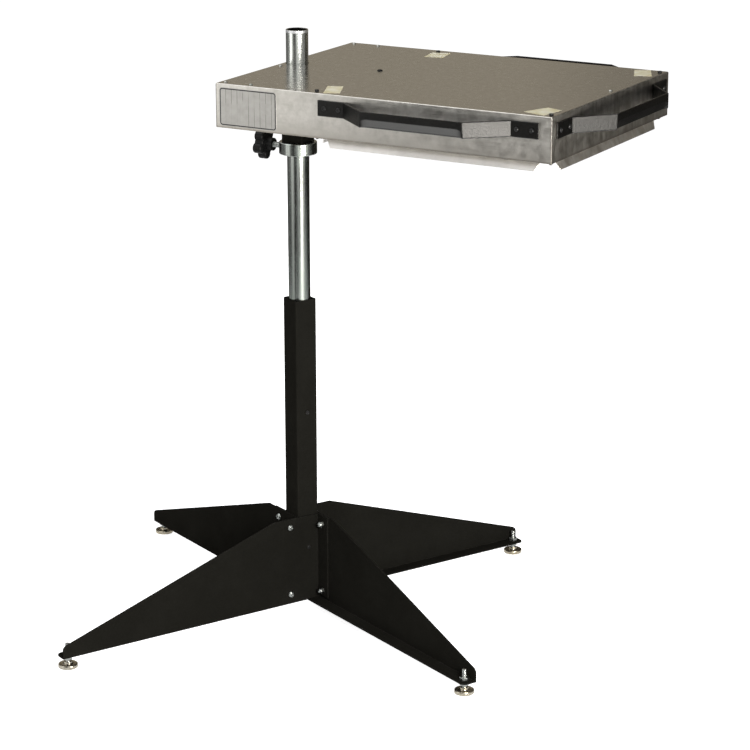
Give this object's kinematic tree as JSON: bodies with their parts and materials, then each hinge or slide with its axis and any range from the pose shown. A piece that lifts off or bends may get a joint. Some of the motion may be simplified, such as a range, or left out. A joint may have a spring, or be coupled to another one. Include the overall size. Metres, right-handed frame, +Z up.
{
  "type": "infrared flash cure unit",
  "caption": "Flat infrared heater head with handles that swivels and slides on a round post, held by a clamp collar with a star knob, on a square pedestal with folded legs and levelling feet.",
  "frame": {"origin": "on the floor under the axis of the post", "axes": "+Z up along the post, +X along the heater head from the post to its free end, +Y towards the back of the head"},
  "size_m": [1.3299, 1.1038, 1.27],
  "materials": {
    "stand_paint": "satin",
    "handle_paint": "matte",
    "housing_metal": "satin",
    "skirt_metal": "satin",
    "zinc": "satin",
    "zinc_fastener": "satin",
    "dark_fastener": "satin",
    "bright_screw": "satin",
    "yellow_zinc": "satin",
    "black_plastic": "satin",
    "emitter": "matte",
    "element": "satin",
    "insulation": "matte",
    "terminal": "satin"
  },
  "bodies": {
    "stand": {"pedestal_tube": "stand_paint", "tube_floor": "zinc", "post": "zinc", "post_set_screws": "dark_fastener", "leg_bolts": "zinc_fastener", "leg_nuts": "zinc_fastener", "foot_nuts": "zinc_fastener", "leg_front_right": "stand_paint", "leg_back_right": "stand_paint", "leg_back_left": "stand_paint", "leg_front_left": "stand_paint"},
    "collar": {"clamp_collar": "zinc"},
    "clamp_screw": {"clamp_stud": "zinc"},
    "knob": {"clamp_knob": "black_plastic"},
    "head": {"swivel_sleeve": "stand_paint", "front_handle": "handle_paint", "end_handle": "handle_paint", "back_handle": "handle_paint", "head_housing": "housing_metal", "bottom_panel": "housing_metal", "heater_cover": "housing_metal", "heater_skirt": "skirt_metal", "mounting_channel": "zinc", "end_bracket": "zinc", "gland_nut": "zinc", "hanger_bolts": "dark_fastener", "hanger_nuts": "dark_fastener", "handle_screws": "dark_fastener", "sleeve_screws": "dark_fastener", "cover_screws": "bright_screw", "cord_gland": "black_plastic", "top_plug": "black_plastic", "emitter_plate": "emitter", "heating_element": "element", "heater_leads": "element", "insulation_board": "insulation", "terminal_block": "terminal", "lead_bushings": "terminal"},
    "foot_front_right": {"foot_pad_front_right": "yellow_zinc", "foot_stud_front_right": "zinc_fastener"},
    "foot_back_right": {"foot_pad_back_right": "yellow_zinc", "foot_stud_back_right": "zinc_fastener"},
    "foot_back_left": {"foot_pad_back_left": "yellow_zinc", "foot_stud_back_left": "zinc_fastener"},
    "foot_front_left": {"foot_pad_front_left": "yellow_zinc", "foot_stud_front_left": "zinc_fastener"}
  },
  "joints": [
    {"name": "height_slide", "type": "slide", "parent": "stand", "child": "collar", "axis": [0, 0, 1], "range_m": [-0.31, 0.068]},
    {"name": "head_swivel", "type": "hinge", "parent": "collar", "child": "head", "pos_m": [0, 0, 1.0361], "axis": [0, 0, 1], "continuous": true},
    {"name": "clamp_advance", "type": "slide", "parent": "collar", "child": "clamp_screw", "axis": [-1, 0, 0], "range_m": [0, 0.00525]},
    {"name": "knob_turn", "type": "hinge", "parent": "clamp_screw", "child": "knob", "pos_m": [-0.08, 0, 1.0234], "axis": [-1, 0, 0], "range_deg": [0, 1080.01]},
    {"name": "foot_front_right_level", "type": "slide", "parent": "stand", "child": "foot_front_right", "axis": [0, 0, 1], "range_m": [-0.012, 0.004]},
    {"name": "foot_back_right_level", "type": "slide", "parent": "stand", "child": "foot_back_right", "axis": [0, 0, 1], "range_m": [-0.012, 0.004]},
    {"name": "foot_back_left_level", "type": "slide", "parent": "stand", "child": "foot_back_left", "axis": [0, 0, 1], "range_m": [-0.012, 0.004]},
    {"name": "foot_front_left_level", "type": "slide", "parent": "stand", "child": "foot_front_left", "axis": [0, 0, 1], "range_m": [-0.012, 0.004]}
  ],
  "couplings": [
    {"joint": "knob_turn", "follows": "clamp_advance", "rad_per_m": 3590.4}
  ]
}
